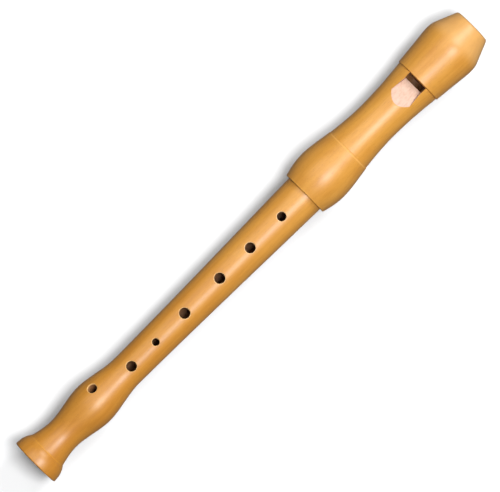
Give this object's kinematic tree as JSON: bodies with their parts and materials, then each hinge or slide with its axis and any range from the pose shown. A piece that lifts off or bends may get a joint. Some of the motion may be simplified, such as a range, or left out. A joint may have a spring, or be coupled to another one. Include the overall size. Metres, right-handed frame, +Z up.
{
  "type": "soprano recorder",
  "caption": "Turned wooden recorder lying on its back: flared foot, stem with finger holes and a thumb hole, pull-out head with window, labium and block, hollowed beak.",
  "frame": {"origin": "on the surface that the recorder lies on, under the middle of its length", "axes": "+X along the bore towards the beak, +Z up, out of the finger holes; the little finger's hole is turned towards +Y"},
  "size_m": [0.325, 0.0328, 0.0322],
  "materials": {
    "stained_wood": "satin lacquer over stained fruitwood",
    "cedar": "bare cedar",
    "cork": "bare cork"
  },
  "bodies": {
    "body": {"body_joint": "stained_wood"},
    "cork": {"tenon_cork": "cork"},
    "head": {"head_joint": "stained_wood"},
    "block": {"block": "cedar"}
  },
  "joints": [
    {"name": "head_twist", "type": "hinge", "parent": "body", "child": "cork", "pos_m": [0.0475, 0, 0.01577], "axis": [1, 0, 0], "continuous": true},
    {"name": "head_pull", "type": "slide", "parent": "cork", "child": "head", "axis": [1, 0, 0], "range_m": [0, 0.024]},
    {"name": "block_slide", "type": "slide", "parent": "head", "child": "block", "axis": [1, 0, 0], "range_m": [0, 0.045]}
  ]
}
